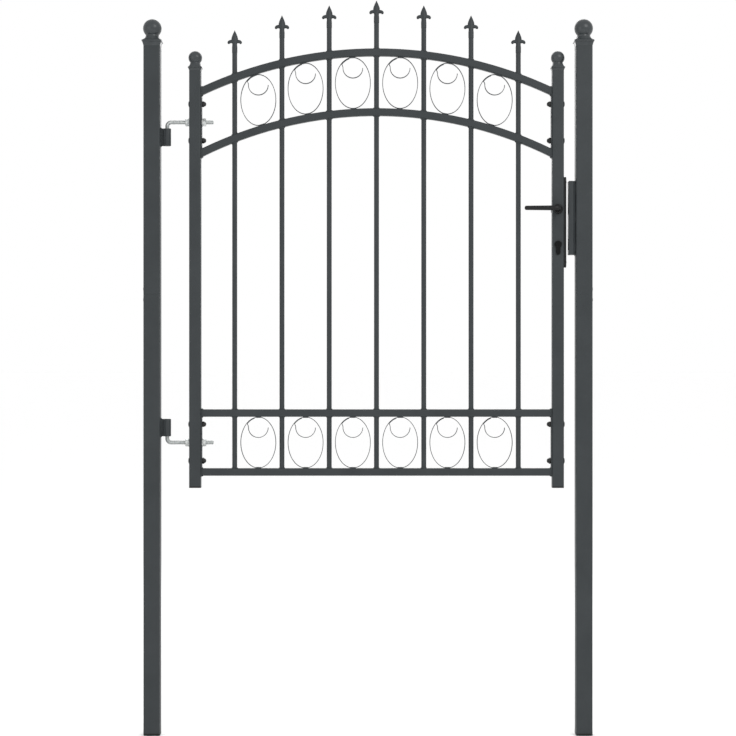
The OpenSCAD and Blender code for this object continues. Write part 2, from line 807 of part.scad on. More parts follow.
// Round knob with a hollow cone behind its rim and a low dome on its end
module back_knob() {
    rim_y = stile_side / 2 + knob_standoff;
    color(black) translate([lock_stile_x, 0, handle_z]) difference() {
        union() {
            rod_y(0, stile_side / 2 + 1, rim_y, 0, neck_d / 2);
            translate([0, rim_y, 0]) rotate([-90, 0, 0]) {
                translate([0, 0, -KNOB_CONE_L]) cylinder(h = KNOB_CONE_L, d1 = neck_d, d2 = knob_d);
                cylinder(h = KNOB_RIM_L, d = knob_d);
                translate([0, 0, KNOB_RIM_L]) dome(knob_d, KNOB_DOME_H);
            }
        }
        spindle_socket(knob_socket_y);
    }
}

lower_post(0);  // hinge_post_lower
upper_post(0);  // hinge_post_upper
tube_foot(0, 0, post_side, post_wall, post_corner_r, 30);  // hinge_post_foot
post_cap(0);  // hinge_post_cap
lower_post(lock_post_x);  // lock_post_lower
upper_post(lock_post_x);  // lock_post_upper
tube_foot(lock_post_x, 0, post_side, post_wall, post_corner_r, 30);  // lock_post_foot
post_cap(lock_post_x);  // lock_post_cap
union() {  // post_couplers
    post_coupler(0);
    post_coupler(lock_post_x);
}
for (x = [0, lock_post_x], side = [-1, 1])  // post_joint_bolts
        post_joint_bolt(x, splice_z + side * splice_bolt_pitch / 2);
hinge_sleeve(upper_hinge_z - sleeve_drop, 1);  // upper_hinge_sleeve
hinge_sleeve(lower_hinge_z + sleeve_drop, -1);  // lower_hinge_sleeve
lock_keeper();
hinge_stile();
lock_stile();
for (x = [hinge_stile_x, lock_stile_x]) tube_foot(x, leaf_z0, stile_side, stile_wall, stile_corner_r, 18);  // stile_feet
for (x = [hinge_stile_x, lock_stile_x]) stile_cap(x);  // stile_caps
arch_rail(upper_cz, upper_r);  // upper_arch_rail
arch_rail(lower_cz, lower_r);  // lower_arch_rail
middle_rail();
bottom_rail();
end_plates();
for (i = [1:BAR_COUNT])
    bar(i);
for (i = [1:BAR_COUNT]) spearhead(i);  // spearheads
upper_rings();
lower_rings();
frame_bolts();
cap_nuts();
hinge_rod(upper_hinge_z, -1);  // upper_hinge_rod
hinge_rod(lower_hinge_z, 1);  // lower_hinge_rod
hinge_nuts();
hinge_washers();
lock_faceplate();
lock_case();
lock_bolts();
key_cylinder();
handle_roses();
handle_spindle();
front_lever();
back_knob();
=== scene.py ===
import math
import random
import bmesh
import bpy
from mathutils import Matrix, Vector


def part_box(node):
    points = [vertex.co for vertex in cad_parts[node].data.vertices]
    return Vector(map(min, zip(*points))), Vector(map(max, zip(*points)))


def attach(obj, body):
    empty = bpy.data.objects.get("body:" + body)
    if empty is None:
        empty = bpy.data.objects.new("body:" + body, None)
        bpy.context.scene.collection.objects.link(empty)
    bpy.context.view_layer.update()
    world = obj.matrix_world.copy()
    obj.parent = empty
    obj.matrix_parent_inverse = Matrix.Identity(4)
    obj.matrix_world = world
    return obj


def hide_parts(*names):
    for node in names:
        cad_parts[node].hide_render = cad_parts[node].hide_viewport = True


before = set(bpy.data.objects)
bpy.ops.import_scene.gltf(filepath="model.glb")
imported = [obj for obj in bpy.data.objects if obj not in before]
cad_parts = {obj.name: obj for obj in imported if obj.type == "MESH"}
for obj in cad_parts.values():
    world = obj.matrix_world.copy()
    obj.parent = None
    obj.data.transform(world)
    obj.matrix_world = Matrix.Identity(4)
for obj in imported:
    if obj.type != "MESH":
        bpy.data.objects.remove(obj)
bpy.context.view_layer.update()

# ---- Posts ----
# Two lengths of 40 mm square steel tube meet on a hidden sleeve, two thirds of the way up.
# Each was sawn, drilled and powder coated in fine-textured anthracite before it left the works.
MM = 0.001
scene = bpy.context.scene


def srgb(text):
    """A hex colour as the linear values that a shader takes."""
    parts = [int(text[i:i + 2], 16) / 255 for i in (1, 3, 5)]
    return [c / 12.92 if c <= 0.04045 else ((c + 0.055) / 1.055) ** 2.4 for c in parts] + [1]


def add_node(tree, kind, sockets=None, **settings):
    """One shader node with its settings, and a value or a link for each socket.

    Sockets go by name, or by number where a node has several of one name: a colour Mix takes its
    factor at 0 and its two colours at 6 and 7, and gives the result at output 2.
    """
    made = tree.nodes.new("ShaderNode" + kind)
    for name, value in settings.items():
        setattr(made, name, value)
    for name, value in (sockets or {}).items():
        if isinstance(value, bpy.types.NodeSocket):
            tree.links.new(value, made.inputs[name])
        else:
            made.inputs[name].default_value = value
    return made


def new_finish(name):
    """An empty material: its node tree, its surface shader and the piece's own coordinates."""
    made = bpy.data.materials.new(name)
    made.use_nodes = True
    tree = made.node_tree
    return made, tree, tree.nodes["Principled BSDF"], add_node(tree, "TexCoord").outputs["Object"]


def edge_mask(tree, reach, start=0.985, full=0.86):
    """White along convex and concave edges, as wide as reach, where a rubbed coat shows first."""
    rounded = add_node(tree, "Bevel", {"Radius": reach}, samples=6)
    flat = add_node(tree, "NewGeometry")
    turn = add_node(tree, "VectorMath", {0: rounded.outputs["Normal"], 1: flat.outputs["Normal"]},
                    operation="DOT_PRODUCT")
    return add_node(tree, "MapRange", {"Value": turn.outputs["Value"], "From Min": start,
                                       "From Max": full, "To Min": 0.0, "To Max": 1.0})


# Polyester powder coat on steel, sprayed and baked: satin, with a fine grain and slight cloudiness.
# The grain is 0.3 mm on the real coat and is drawn at 1.1 mm so that it shows.
powder_coat, tree, shader, where = new_finish("anthracite_powder_coat")
clouds = add_node(tree, "TexNoise", {"Vector": where, "Scale": 1 / (90 * MM), "Detail": 5.0,
                                     "Roughness": 0.6})
grain = add_node(tree, "TexNoise", {"Vector": where, "Scale": 1 / (1.1 * MM), "Detail": 3.0})
peel = add_node(tree, "TexNoise", {"Vector": where, "Scale": 1 / (6 * MM), "Detail": 2.0})
coat_tone = add_node(tree, "ValToRGB", {"Fac": clouds.outputs["Fac"]})
coat_tone.color_ramp.elements[0].position = 0.3
coat_tone.color_ramp.elements[0].color = srgb("#282c2e")
coat_tone.color_ramp.elements[1].position = 0.7
coat_tone.color_ramp.elements[1].color = srgb("#2f3335")
speckle = add_node(tree, "MapRange", {"Value": grain.outputs["Fac"], "From Min": 0.35,
                                      "From Max": 0.75, "To Min": 0.0, "To Max": 0.16})
speckled = add_node(tree, "Mix", {0: speckle.outputs["Result"], 6: coat_tone.outputs["Color"],
                                  7: srgb("#43484a")}, data_type="RGBA")
rubbed = edge_mask(tree, 0.9 * MM)
patchy = add_node(tree, "Math", {0: rubbed.outputs["Result"], 1: peel.outputs["Fac"]},
                  operation="MULTIPLY")
rub_share = add_node(tree, "Math", {0: patchy.outputs["Value"], 1: 0.55}, operation="MULTIPLY")
worn = add_node(tree, "Mix", {0: rub_share.outputs["Value"], 6: speckled.outputs[2],
                              7: srgb("#575d5f")}, data_type="RGBA")
tree.links.new(worn.outputs[2], shader.inputs["Base Color"])
gloss = add_node(tree, "MapRange", {"Value": peel.outputs["Fac"], "To Min": 0.4, "To Max": 0.56})
tree.links.new(gloss.outputs["Result"], shader.inputs["Roughness"])
fine_bump = add_node(tree, "Bump", {"Height": grain.outputs["Fac"], "Strength": 0.35,
                                    "Distance": 0.06 * MM})
coat_bump = add_node(tree, "Bump", {"Height": peel.outputs["Fac"], "Strength": 0.25,
                                    "Distance": 0.25 * MM, "Normal": fine_bump.outputs["Normal"]})
tree.links.new(coat_bump.outputs["Normal"], shader.inputs["Normal"])
shader.inputs["IOR"].default_value = 1.5
shader.inputs["Specular IOR Level"].default_value = 0.25


def dress(node, finish, round_edges=0.0):
    """Gives a CAD node its finish, and rounds its sharp edges as far as a maker's file would."""
    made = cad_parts[node]
    made.data.materials.clear()
    made.data.materials.append(finish)
    if round_edges:
        made.modifiers.new("seam", "WELD").merge_threshold = 0.01 * MM
        rounding = made.modifiers.new("edges", "BEVEL")
        rounding.width = round_edges * MM
        rounding.segments = 2
        rounding.limit_method = "ANGLE"
        rounding.angle_limit = math.radians(50)
        rounding.harden_normals = False


for post in ("hinge_post", "lock_post"):
    dress(post + "_lower", powder_coat, 0.5)
    dress(post + "_upper", powder_coat, 0.5)
dress("post_couplers", powder_coat)

# ---- Post caps ----
# Moulded in anthracite nylon: a plug in the tube, a flared collar with a shadow groove under it,
# a hollow-sided shoulder, a short neck and a ball with the mould's parting line across it.

# Glass-filled nylon: smoother than the powder coat, faintly clouded where the melt flowed, and
# scuffed pale along its edges.
cap_nylon, tree, shader, where = new_finish("anthracite_moulded_nylon")
flow = add_node(tree, "TexNoise", {"Vector": where, "Scale": 1 / (18 * MM), "Detail": 4.0,
                                   "Distortion": 0.6})
skin = add_node(tree, "TexNoise", {"Vector": where, "Scale": 1 / (0.9 * MM), "Detail": 2.0})
cap_tone = add_node(tree, "ValToRGB", {"Fac": flow.outputs["Fac"]})
cap_tone.color_ramp.elements[0].position = 0.35
cap_tone.color_ramp.elements[0].color = srgb("#2e3234")
cap_tone.color_ramp.elements[1].position = 0.68
cap_tone.color_ramp.elements[1].color = srgb("#373b3d")
scuffed = edge_mask(tree, 0.7 * MM)
scuff_share = add_node(tree, "Math", {0: scuffed.outputs["Result"], 1: 0.2}, operation="MULTIPLY")
scuff = add_node(tree, "Mix", {0: scuff_share.outputs["Value"], 6: cap_tone.outputs["Color"],
                               7: srgb("#585e61")}, data_type="RGBA")
tree.links.new(scuff.outputs[2], shader.inputs["Base Color"])
cap_gloss = add_node(tree, "MapRange", {"Value": flow.outputs["Fac"], "To Min": 0.26,
                                        "To Max": 0.38})
tree.links.new(cap_gloss.outputs["Result"], shader.inputs["Roughness"])
cap_bump = add_node(tree, "Bump", {"Height": skin.outputs["Fac"], "Strength": 0.2,
                                   "Distance": 0.04 * MM})
tree.links.new(cap_bump.outputs["Normal"], shader.inputs["Normal"])
shader.inputs["IOR"].default_value = 1.53
shader.inputs["Specular IOR Level"].default_value = 0.3


def loft(shape, sections, closed=False):
    """A skin over rings of points, with its two ends filled unless it closes on itself."""
    rings = [[shape.verts.new(p) for p in section] for section in sections]
    for near, far in zip(rings, rings[1:] + (rings[:1] if closed else [])):
        for i, point in enumerate(near):
            j = (i + 1) % len(near)
            shape.faces.new((point, near[j], far[j], far[i]))
    if not closed:
        shape.faces.new(rings[0])
        shape.faces.new(rings[-1])


def turned(shape, profile, place, sides=48):
    """Loft about place's Z axis; each radius of the profile may also be a rule of the angle."""
    angles = [2 * math.pi * i / sides for i in range(sides)]
    loft(shape, [[place @ Vector((math.cos(a) * r, math.sin(a) * r, height))
                  for a in angles for r in [(radius(a) if callable(radius) else radius)]]
                 for radius, height in profile])


def placed(x, y, z, toward=(0, 0, 1)):
    """The place of a piece made in millimetres, its Z axis turned toward a direction."""
    turn = Vector((0, 0, 1)).rotation_difference(Vector(toward)).to_matrix().to_4x4()
    return Matrix.Translation((x, y, z)) @ turn @ Matrix.Scale(MM, 4)


def rounded_square(side, corner):
    """Radius by angle of a square with round corners."""
    half, inset = side / 2, side / 2 - corner

    def radius(a):
        a = abs((a + math.pi / 4) % (math.pi / 2) - math.pi / 4)
        if half * math.tan(a) <= inset:
            return half / math.cos(a)
        along = inset * (math.cos(a) + math.sin(a))
        return along + math.sqrt(max(0.0, along * along - 2 * inset * inset + corner * corner))
    return radius


def blend_radius(first, last, share):
    """Radius by angle part of the way from one outline to another."""
    return lambda a: first(a) * (1 - share) + last(a) * share


def add_piece(name, shape, finish, body, stands_for=(), crease=38):
    """A mesh from a built shape, dressed, smoothed up to a crease, riding on its body."""
    bmesh.ops.recalc_face_normals(shape, faces=shape.faces)
    mesh = bpy.data.meshes.new(name)
    shape.to_mesh(mesh)
    shape.free()
    mesh.materials.append(finish)
    mesh.polygons.foreach_set("use_smooth", [True] * len(mesh.polygons))
    mesh.set_sharp_from_angle(angle=math.radians(crease))
    made = bpy.data.objects.new(name, mesh)
    scene.collection.objects.link(made)
    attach(made, body)
    if stands_for:
        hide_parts(*stands_for)
    return made


def ball_cap(shape, place, side, plug_side, plug_l, collar, flare_h, shoulder_h, neck_d, ball_d,
             ball_up):
    """One cap, from the foot of its plug to the top of its ball."""
    corner = 3.0
    collar_line = rounded_square(collar, corner)
    groove_line = rounded_square(side + 0.6 * (collar - side), corner)
    lip = 0.28 * flare_h
    profile = [(rounded_square(plug_side - 1.5, 1.5), -plug_l),
               (rounded_square(plug_side, 1.5), -plug_l + 2), (rounded_square(plug_side, 1.5), 0),
               (rounded_square(side - 0.4, corner), 0), (rounded_square(side, corner), 0.4)]
    profile += [(blend_radius(rounded_square(side, corner), groove_line, s / 6),
                 0.4 + (flare_h - lip - 1.6) * s / 6) for s in range(1, 7)]
    profile += [(rounded_square(collar - 3.2, corner), flare_h - lip - 1.0),
                (rounded_square(collar - 3.2, corner), flare_h - lip - 0.2),
                (rounded_square(collar - 0.8, corner), flare_h - lip),
                (collar_line, flare_h - lip + 0.5), (collar_line, flare_h - 0.5),
                (rounded_square(collar - 0.8, corner), flare_h)]
    for s in range(1, 15):
        t = s / 14
        hollow = t ** 0.82
        profile.append((blend_radius(rounded_square(collar - 0.8, corner),
                                     lambda a: neck_d / 2, hollow),
                        flare_h + shoulder_h * t - 0.5 * math.sin(math.pi * t)))
    ball_r = ball_d / 2
    meet = math.asin(max(-1, -math.sqrt(ball_r ** 2 - (0.96 * neck_d / 2) ** 2) / ball_r))
    profile.append((0.985 * neck_d / 2, flare_h + shoulder_h + 0.8))
    for s in range(31):
        t = meet + (math.pi / 2 - meet) * s / 30
        r = max(ball_r * math.cos(t), 0.05)
        seam = 0.12 if abs(t) < 0.03 else 0.0
        profile.append((r + seam, ball_up + ball_r * math.sin(t)))
    turned(shape, profile, place, 96)


for post in ("hinge_post", "lock_post"):
    low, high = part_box(post + "_upper")
    side = (high.x - low.x) / MM
    shape = bmesh.new()
    ball_cap(shape, placed((low.x + high.x) / 2, 0, high.z), side, plug_side=side - 4.6, plug_l=30,
             collar=side + 8, flare_h=13.8, shoulder_h=9.8, neck_d=33, ball_d=45, ball_up=43.5)
    add_piece(post + "_ball_cap", shape, cap_nylon, "posts",
              [post + "_cap"])

# ---- Foot plugs ----
# Black polyethylene inserts close the lower ends of the posts and stiles.
# They are injection moulded, waxy and slightly uneven, and grey with dust at their edges.
plug_plastic, tree, shader, where = new_finish("black_moulded_polyethylene")
wax = add_node(tree, "TexNoise", {"Vector": where, "Scale": 1 / (7 * MM), "Detail": 3.0})
dust = edge_mask(tree, 0.8 * MM)
dust_share = add_node(tree, "Math", {0: dust.outputs["Result"], 1: 0.25}, operation="MULTIPLY")
wax_tone = add_node(tree, "Mix", {0: wax.outputs["Fac"], 6: srgb("#101111"), 7: srgb("#191a1a")},
                    data_type="RGBA")
plug_tone = add_node(tree, "Mix", {0: dust_share.outputs["Value"], 6: wax_tone.outputs[2],
                                   7: srgb("#5c5d5b")}, data_type="RGBA")
tree.links.new(plug_tone.outputs[2], shader.inputs["Base Color"])
wax_gloss = add_node(tree, "MapRange", {"Value": wax.outputs["Fac"], "To Min": 0.38,
                                        "To Max": 0.55})
tree.links.new(wax_gloss.outputs["Result"], shader.inputs["Roughness"])
wax_bump = add_node(tree, "Bump", {"Height": wax.outputs["Fac"], "Strength": 0.3,
                                   "Distance": 0.15 * MM})
tree.links.new(wax_bump.outputs["Normal"], shader.inputs["Normal"])
shader.inputs["IOR"].default_value = 1.51
shader.inputs["Specular IOR Level"].default_value = 0.3
for node in ("hinge_post_foot", "lock_post_foot", "stile_feet"):
    dress(node, plug_plastic, 0.6)

# ---- Hinge sleeves ----
# A turned steel sleeve, closed at one end, stands on a flat tab that is welded to the post.
# They are welded on before the post is coated, so the anthracite coat runs over the welds.
def swept(shape, points, normal, outline, closed=False):
    """Loft along a flat path; outline gives each section's points across and along its normal."""
    sections = []
    for i, point in enumerate(points):
        if closed:
            ahead, behind = points[(i + 1) % len(points)], points[i - 1]
        else:
            ahead, behind = points[min(i + 1, len(points) - 1)], points[max(i - 1, 0)]
        across = (ahead - behind).normalized().cross(normal)
        sections.append([point + across * u + normal * v for u, v in outline(i)])
    loft(shape, sections, closed)


def weld_bead(shape, points, normal, radius, closed=False, sides=10):
    """A rippled run of weld: it swells and shrinks with each drop, and its ends run out."""
    step = (points[1] - points[0]).length

    def outline(i):
        run_out = 1.0 if closed else min(1.0, 0.35 + 0.65 * min(i, len(points) - 1 - i) / 2)
        drop = 1 + 0.11 * math.sin(2 * math.pi * i * step / (2.4 * MM))
        size = radius * run_out * drop * dice.uniform(0.93, 1.07)
        return [(size * math.cos(a), size * math.sin(a))
                for a in (2 * math.pi * k / sides for k in range(sides))]
    swept(shape, points, normal, outline, closed)


def run(start, end, step=0.6):
    """Points from one place to another, a few tenths of a millimetre apart."""
    count = max(3, round((end - start).length / (step * MM)))
    return [start.lerp(end, i / count) for i in range(count + 1)]


def flat_bar(shape, low, high, chamfer):
    """A block between two corners with its edges along Z taken off."""
    c = chamfer * MM
    outline = [(low.x + c, low.y), (high.x - c, low.y), (high.x, low.y + c), (high.x, high.y - c),
               (high.x - c, high.y), (low.x + c, high.y), (low.x, high.y - c), (low.x, low.y + c)]
    mid = Vector(((low.x + high.x) / 2, (low.y + high.y) / 2, 0))
    inner = [(mid.x + (x - mid.x) * (1 - 2 * c / (high.x - low.x)),
              mid.y + (y - mid.y) * (1 - 2 * c / (high.y - low.y))) for x, y in outline]
    loft(shape, [[Vector((x, y, z)) for x, y in line] for line, z in
                 ((inner, low.z), (outline, low.z + c), (outline, high.z - c), (inner, high.z))])


dice = random.Random(20)
for hinge in ("upper_hinge", "lower_hinge"):
    low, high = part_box(hinge + "_sleeve")
    open_up = 1 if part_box(hinge + "_rod")[0].z > low.z else -1
    radius = (high.y - low.y) / 2 / MM
    axis_x = high.x - radius * MM
    tall = (high.z - low.z) / MM
    bore = 5.12
    shape = bmesh.new()
    foot = placed(axis_x, 0, low.z if open_up > 0 else high.z, (0, 0, open_up))
    turned(shape, [(radius - 1.6, 0), (radius - 0.5, 0.35), (radius, 1.2), (radius, tall - 0.9),
                   (radius - 0.3, tall - 0.25), (radius - 0.9, tall), (bore + 1.2, tall),
                   (bore + 0.3, tall - 0.4), (bore, tall - 1.1), (bore, 5), (0.4, 4.6)], foot)
    flat_bar(shape, Vector((low.x, -4.5 * MM, low.z)), Vector((axis_x - 6 * MM, 4.5 * MM, high.z)),
             0.5)
    for front in (-1, 1):
        for x, reach, size in ((low.x + 0.5 * MM, 4.9, 2.4), (axis_x - 7.4 * MM, 5.3, 1.9)):
            weld_bead(shape, run(Vector((x, front * reach * MM, low.z + 1.5 * MM)),
                                 Vector((x, front * reach * MM, high.z - 1.5 * MM))),
                      Vector((0, 1, 0)), size * MM)
    for z in (low.z, high.z):
        weld_bead(shape, run(Vector((low.x + 0.6 * MM, -4.2 * MM, z)),
                             Vector((low.x + 0.6 * MM, 4.2 * MM, z))), Vector((0, 0, 1)), 2.2 * MM)
    add_piece(hinge + "_socket", shape, powder_coat, "posts",
              [hinge + "_sleeve"], 50)

# ---- Post joint bolts ----
# Button-headed M8 bolts, coated with the posts, pin the two lengths of each post to the sleeve.
# Each is tightened with a hexagon key through the dished socket in its head.


def hexagon(across_flats, blunt=0.0):
    """Radius by angle of a hexagon, its corners turned off at a round of across_flats + blunt."""
    corner = (across_flats + blunt) / 2 if blunt else across_flats
    return lambda a: min(across_flats / 2 / math.cos((a + math.pi / 6) % (math.pi / 3)
                                                     - math.pi / 6), corner)


def button_head(shape, place, head_d, head_h, socket, shank_d, shank_l):
    """A domed head with a hexagon socket, and the shank under it."""
    r = head_d / 2
    profile = [(shank_d / 2 - 0.6, -shank_l), (shank_d / 2, -shank_l + 0.8), (shank_d / 2, 0),
               (r - 0.3, 0), (r, 0.25)]
    for s in range(1, 9):
        t = math.pi / 2 * s / 8 * 0.62
        profile.append((r * math.cos(t) ** 1.15, 0.25 + (head_h - 0.25) * math.sin(t)
                        / math.sin(math.pi / 2 * 0.62)))
    profile += [(socket / 2 * 1.2, head_h - 0.02), (hexagon(socket), head_h - 0.25),
                (hexagon(socket), head_h * 0.45), (0.3, head_h * 0.45 - 0.4)]
    turned(shape, profile, place, 48)


shape = bmesh.new()
low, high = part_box("post_joint_bolts")
mid_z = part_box("hinge_post_upper")[0].z
joint_head_d = 13
bolt_dz = (high.z - low.z) / 2 - joint_head_d / 2 * MM
for face_x, out in ((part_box("hinge_post_upper")[0].x, -1), (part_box("lock_post_upper")[1].x, 1)):
    for side in (-1, 1):
        button_head(shape, placed(face_x, 0, mid_z + side * bolt_dz, (out, 0, 0)), joint_head_d,
                    head_h=2, socket=5, shank_d=8, shank_l=8)
add_piece("post_joint_screws", shape, powder_coat, "posts",
          ["post_joint_bolts"])

# ---- Lock keeper ----
# Sheet steel folded into a channel and welded to the lock post, its web pierced for the latch
# and the dead bolt. It was coated with the post, so the welds at its ends are anthracite too.
low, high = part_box("lock_keeper")
latch_z = (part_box("front_lever")[0].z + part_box("front_lever")[1].z) / 2
bolt_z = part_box("lock_bolts")[0].z + 12 * MM
half, back = high.y, high.x
step_x, wall, soft = low.x + 0.6 * (high.x - low.x), 2.5 * MM, 0.8 * MM
web_half = half - 4.9 * MM


def web_slab(shape, z0, z1, y0, y1):
    """A piece of the channel's web, between the pierced openings."""
    flat_bar(shape, Vector((low.x, y0, z0)), Vector((low.x + wall, y1, z1)), 0.3)


shape = bmesh.new()
for front in (-1, 1):
    # One side of the channel: its rounded bend, then a flange joggled back towards the post
    bend = [(low.x, half - 5 * MM), (low.x, half - soft), (low.x + 0.3 * soft, half - 0.3 * soft),
            (low.x + soft, half), (step_x, half), (step_x + 0.9 * MM, half - 1.1 * MM),
            (step_x + 1.3 * MM, half - 2.4 * MM), (back, half - 4.6 * MM),
            (back, half - 7 * MM), (step_x, half - 4.6 * MM), (step_x - 1 * MM, half - wall),
            (low.x + wall, half - wall), (low.x + wall, half - 5 * MM)]
    loft(shape, [[Vector((x, front * y, z)) for x, y in bend] for z in (low.z, high.z)])
for z in (low.z, high.z - wall):
    flat_bar(shape, Vector((low.x + 0.5 * MM, 1 * MM - half + wall, z)),
             Vector((back, half - wall - 1 * MM, z + wall)), 0.3)
# The web stands between and beside the two pierced openings
holes = [(bolt_z - 14 * MM, bolt_z + 14 * MM, 7.5 * MM),
         (latch_z - 12 * MM, latch_z + 12 * MM, 8 * MM)]
edges = [low.z] + [z for hole in holes for z in hole[:2]] + [high.z]
for z0, z1 in zip(edges[::2], edges[1::2]):
    web_slab(shape, z0, z1, -web_half, web_half)
for z0, z1, hole_y in holes:
    for front in (-1, 1):
        y0, y1 = sorted((front * hole_y, front * web_half))
        web_slab(shape, z0, z1, y0, y1)
add_piece("keeper_channel", shape, powder_coat, "posts",
          ["lock_keeper"], 45)
# Three short welds down each flange and one across each end
shape = bmesh.new()
weld_x, weld_l = high.x - 0.3 * MM, 24 * MM
for front in (-1, 1):
    y = front * (high.y - 4.8 * MM)
    for z in (low.z + 6 * MM, (low.z + high.z) / 2 - weld_l / 2, high.z - 6 * MM - weld_l):
        weld_bead(shape, run(Vector((weld_x, y, z)), Vector((weld_x, y, z + weld_l))),
                  Vector((0, 1, 0)), 1.5 * MM)
for z in (low.z, high.z):
    weld_bead(shape, run(Vector((weld_x, low.y + 4 * MM, z)), Vector((weld_x, high.y - 4 * MM, z))),
              Vector((0, 0, 1)), 1.6 * MM)
add_piece("keeper_welds", shape, powder_coat, "posts")

# ---- Leaf frame ----
# Two stiles of 28 mm tube and four rails of 18 mm tube, two of them rolled to an arch.
# The rails are welded to end plates, which are bolted to the stiles' inner faces.
for node in ("hinge_stile", "lock_stile", "middle_rail", "bottom_rail"):
    dress(node, powder_coat, 0.4)
for node in ("upper_arch_rail", "lower_arch_rail"):
    dress(node, powder_coat)
dress("end_plates", powder_coat, 0.6)

rail_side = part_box("bottom_rail")[1].y * 2
left_face, right_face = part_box("hinge_stile")[1].x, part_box("lock_stile")[0].x
mid_x = (left_face + right_face) / 2


def arch_face(node, outer):
    """Height by place of an arched rail's upper or lower face, from the rail's own box."""
    low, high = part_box(node)
    half, rise = (high.x - low.x) / 2, high.z - rail_side - low.z
    inner_r = (half * half + rise * rise) / (2 * rise)
    centre_z = high.z - rail_side - inner_r
    r = inner_r + (rail_side if outer else 0)
    return lambda x: centre_z + math.sqrt(r * r - (x - mid_x) ** 2)


def level(z):
    return lambda x: z


faces = {
    "upper_arch_top": arch_face("upper_arch_rail", True),
    "upper_arch_under": arch_face("upper_arch_rail", False),
    "lower_arch_top": arch_face("lower_arch_rail", True),
    "lower_arch_under": arch_face("lower_arch_rail", False),
    "middle_top": level(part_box("middle_rail")[1].z),
    "middle_under": level(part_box("middle_rail")[0].z),
    "bottom_top": level(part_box("bottom_rail")[1].z),
    "bottom_under": level(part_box("bottom_rail")[0].z),
}
shape = bmesh.new()
for name, height in faces.items():
    up = 1 if name.endswith("top") else -1
    for x in (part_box("upper_arch_rail")[0].x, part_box("upper_arch_rail")[1].x):
        inward = 1 if x < mid_x else -1
        z = height(x) + up * 0.2 * MM
        weld_bead(shape, run(Vector((x + inward * 0.8 * MM, -rail_side / 2 + 2 * MM, z)),
                             Vector((x + inward * 0.8 * MM, rail_side / 2 - 2 * MM, z))),
                  Vector((0, 0, 1)), 1.5 * MM)
add_piece("rail_end_welds", shape, powder_coat, "leaf")

# ---- Bars ----
# Seven 12 mm round tubes pass through holes drilled in the rails and rise to their spearheads.
# A small run of weld rings each bar where it enters and leaves a rail.
bar_places = []
for i in range(1, 8):
    dress(f"bar_{i}", powder_coat)
    low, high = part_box(f"bar_{i}")
    bar_places.append(((low.x + high.x) / 2, high.z))
bar_r = (high.x - low.x) / 2
shape = bmesh.new()
for name, height in faces.items():
    if name == "bottom_under":
        continue
    size = 2.0 if "arch" in name else 1.5
    lift = 0.35 * MM * (1 if name.endswith("top") else -1)
    for x, _ in bar_places:
        ring = [Vector((x + (bar_r + 0.2 * MM) * math.cos(a), (bar_r + 0.2 * MM) * math.sin(a), 0))
                for a in (2 * math.pi * k / 44 for k in range(44))]
        for point in ring:
            point.z = height(point.x) + lift
        weld_bead(shape, ring, Vector((0, 0, 1)), size * MM, closed=True, sides=8)
add_piece("bar_welds", shape, powder_coat, "leaf")

# ---- Spearheads ----
# Cast iron heads on the bars' upper ends: a four-faced leaf with a rib down its middle, two barbs
# that droop beside it, and a round shank. Sand casting leaves the corners soft.


def smooth_curve(stations, count):
    """Even, smooth values through stations: tuples that start with the way along."""
    out = []
    for k in range(count + 1):
        t = stations[0][0] + (stations[-1][0] - stations[0][0]) * k / count
        i = max(j for j in range(len(stations) - 1) if stations[j][0] <= t or j == 0)
        p0, p1 = stations[max(i - 1, 0)], stations[i]
        p2, p3 = stations[i + 1], stations[min(i + 2, len(stations) - 1)]
        u = (t - p1[0]) / (p2[0] - p1[0])
        out.append([0.5 * (2 * b + (c - a) * u + (2 * a - 5 * b + 4 * c - d) * u * u
                           + (3 * b - a - 3 * c + d) * u ** 3)
                    for a, b, c, d in zip(p0, p1, p2, p3)])
    return out


def spearhead(shape):
    """One head with its point at the origin, in millimetres."""
    # Way down from the point, half width, half depth, and how square the section is
    leaf = smooth_curve([(0, 0.5, 0.5, 1.25), (4, 2.2, 1.9, 1.25), (9, 4.6, 3.5, 1.2),
                         (14, 6.6, 4.7, 1.2), (18, 7.8, 5.2, 1.25), (22, 8.1, 5.3, 1.4),
                         (26.5, 7.3, 5.3, 1.6), (31, 6.2, 5.4, 1.8), (36, 6.0, 6.0, 2.0),
                         (40.5, 6.5, 6.5, 2.0), (46, 6.5, 6.5, 2.0), (55, 6.5, 6.5, 2.0)], 70)
    sides = 40
    rings = []
    for down, wide, deep, power in leaf:
        ring = []
        for k in range(sides):
            c, s = math.cos(2 * math.pi * k / sides), math.sin(2 * math.pi * k / sides)
            size = (abs(c) ** power + abs(s) ** power) ** (-1 / power)
            ring.append(Vector((wide * c * size, deep * s * size, -down)))
        rings.append(ring)
    loft(shape, rings)
    for side in (-1, 1):
        # Way along, place across, place down, radius across, radius deep
        barb = smooth_curve([(0, 0, -28.4, 4.2, 4.4), (5, 4.4, -27.3, 4.2, 4.3),
                             (10, 8.6, -27.0, 4.3, 4.2), (14, 12.0, -27.9, 4.3, 4.3),
                             (17, 13.6, -29.8, 4.1, 4.4), (19, 13.4, -31.6, 3.1, 3.4),
                             (20.5, 13.0, -32.8, 1.5, 1.7)], 26)
        points = [Vector((side * x, 0, z)) for _, x, z, _, _ in barb]
        swept(shape, points, Vector((0, 1, 0)),
              lambda i: [(barb[i][3] * math.cos(2 * math.pi * k / 20),
                          barb[i][4] * math.sin(2 * math.pi * k / 20)) for k in range(20)])


